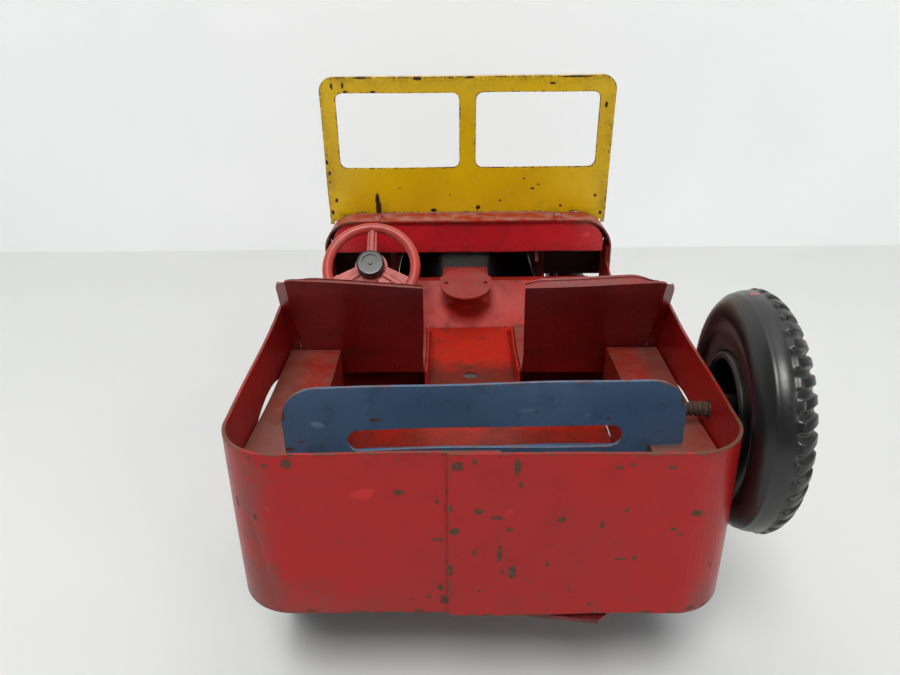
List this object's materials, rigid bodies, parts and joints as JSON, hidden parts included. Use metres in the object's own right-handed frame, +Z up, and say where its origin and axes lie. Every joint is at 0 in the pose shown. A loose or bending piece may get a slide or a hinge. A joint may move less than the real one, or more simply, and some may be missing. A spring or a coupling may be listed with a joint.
{
  "type": "toy utility vehicle",
  "caption": "Pressed-steel toy open utility vehicle with folding windshield, steering, opening hood, spare wheel and a swinging tow plate.",
  "frame": {"origin": "on the floor plane under the centre of the bounding box; the centre plane of the body is at x = -7.6 mm because the spare wheel stands out on the right", "axes": "+Y towards the front of the vehicle, +X to its right, +Z up; the tyres stand on z = 0"},
  "size_m": [0.1413, 0.2892, 0.1475],
  "materials": {
    "body_red": "worn gloss enamel",
    "floor_orange": "worn gloss enamel, warmer and thinner than the body",
    "well_red": "dusty enamel",
    "seat_red": "satin enamel",
    "dash_red": "gloss enamel",
    "shift_red": "worn enamel",
    "hood_red": "worn gloss enamel",
    "chassis_red": "thin enamel over sheet",
    "tow_red": "dark enamel",
    "windshield_yellow": "worn gloss enamel",
    "seat_blue": "satin enamel, edges worn",
    "steering_coral": "enamel worn on the rim",
    "lamp_metal": "dull plated",
    "bare_steel": "dull, tarnished",
    "rusty_steel": "rusted",
    "cap_black": "semi-gloss",
    "hub_black": "semi-gloss enamel",
    "tyre_black": "aged, slightly glossy rubber"
  },
  "bodies": {
    "chassis": {"tub_left_half": "body_red", "tub_right_half": "body_red", "floor_pan": "floor_orange", "seat_braces": "floor_orange", "wheel_well_left": "well_red", "wheel_well_right": "well_red", "front_seat_left": "seat_red", "front_seat_right": "seat_red", "cowl_hoop": "body_red", "cowl_face": "body_red", "dash_panel": "dash_red", "dash_clip": "bare_steel", "shift_plate": "shift_red", "windshield_pins": "bare_steel", "windshield_lugs": "body_red", "column_bushing": "bare_steel", "hood_rod": "bare_steel", "hood_lugs": "body_red", "grille_panel": "hood_red", "headlamps": "lamp_metal", "fender_left": "hood_red", "fender_right": "hood_red", "front_bumper": "hood_red", "chassis_rail_left": "chassis_red", "chassis_rail_right": "chassis_red", "rear_crossmember": "chassis_red", "rear_axle_hangers": "chassis_red", "rear_axle": "bare_steel", "rear_axle_caps": "bare_steel", "front_axle_beam": "chassis_red", "kingpins": "bare_steel", "spare_stud": "rusty_steel", "spare_nut": "bare_steel", "rear_seat": "seat_blue", "tow_rivet": "bare_steel", "chassis_rivets": "bare_steel"},
    "windshield": {"windshield_frame": "windshield_yellow"},
    "steering": {"steering_wheel": "steering_coral", "steering_cap": "cap_black", "steering_column": "steering_coral"},
    "hood": {"hood": "hood_red"},
    "knuckle_left": {"knuckle_left": "bare_steel", "stub_cap_left": "bare_steel"},
    "knuckle_right": {"knuckle_right": "bare_steel", "stub_cap_right": "bare_steel"},
    "tie": {"tie_rod": "bare_steel"},
    "wheel_front_left": {"tyre_front_left": "tyre_black", "hub_front_left": "hub_black"},
    "wheel_front_right": {"tyre_front_right": "tyre_black", "hub_front_right": "hub_black"},
    "wheel_rear_left": {"tyre_rear_left": "tyre_black", "hub_rear_left": "hub_black"},
    "wheel_rear_right": {"tyre_rear_right": "tyre_black", "hub_rear_right": "hub_black"},
    "spare": {"spare_tyre": "tyre_black", "spare_hub": "hub_black"},
    "tow": {"tow_plate": "tow_red"}
  },
  "joints": [
    {"name": "windshield_fold", "type": "hinge", "parent": "chassis", "child": "windshield", "pos_m": [-0.0076, 0.0429, 0.0868], "axis": [1, 0, 0], "range_deg": [-96, 0]},
    {"name": "hood_open", "type": "hinge", "parent": "chassis", "child": "hood", "pos_m": [-0.0076, 0.0435, 0.0802], "axis": [1, 0, 0], "range_deg": [0, 60]},
    {"name": "steering_turn", "type": "hinge", "parent": "chassis", "child": "steering", "pos_m": [-0.0475, 0.0015, 0.077], "axis": [0, -0.7193, 0.6947], "range_deg": [-30, 30]},
    {"name": "knuckle_left_turn", "type": "hinge", "parent": "chassis", "child": "knuckle_left", "pos_m": [-0.0486, 0.0915, 0.0322], "axis": [0, 0, 1], "range_deg": [-19, 19]},
    {"name": "knuckle_right_turn", "type": "hinge", "parent": "chassis", "child": "knuckle_right", "pos_m": [0.0334, 0.0915, 0.0322], "axis": [0, 0, 1], "range_deg": [-19, 19]},
    {"name": "tie_rod_turn", "type": "hinge", "parent": "knuckle_left", "child": "tie", "pos_m": [-0.0486, 0.0755, 0.0292], "axis": [0, 0, 1], "range_deg": [-19, 19]},
    {"name": "wheel_front_left_spin", "type": "hinge", "parent": "knuckle_left", "child": "wheel_front_left", "pos_m": [-0.0606, 0.0915, 0.0322], "axis": [1, 0, 0], "continuous": true},
    {"name": "wheel_front_right_spin", "type": "hinge", "parent": "knuckle_right", "child": "wheel_front_right", "pos_m": [0.0454, 0.0915, 0.0322], "axis": [1, 0, 0], "continuous": true},
    {"name": "wheel_rear_left_spin", "type": "hinge", "parent": "chassis", "child": "wheel_rear_left", "pos_m": [-0.0606, -0.0935, 0.0322], "axis": [1, 0, 0], "continuous": true},
    {"name": "wheel_rear_right_spin", "type": "hinge", "parent": "chassis", "child": "wheel_rear_right", "pos_m": [0.0454, -0.0935, 0.0322], "axis": [1, 0, 0], "continuous": true},
    {"name": "spare_spin", "type": "hinge", "parent": "chassis", "child": "spare", "pos_m": [0.0548, -0.1115, 0.075], "axis": [0.999, -0.0436, 0], "continuous": true},
    {"name": "tow_swing", "type": "hinge", "parent": "chassis", "child": "tow", "pos_m": [-0.0076, -0.1195, 0.0329], "axis": [0, 0, 1], "range_deg": [0, 18]}
  ],
  "couplings": [
    {"joint": "knuckle_left_turn", "follows": "steering_turn", "ratio": 0.62},
    {"joint": "knuckle_right_turn", "follows": "steering_turn", "ratio": 0.62},
    {"joint": "tie_rod_turn", "follows": "steering_turn", "ratio": -0.62}
  ]
}
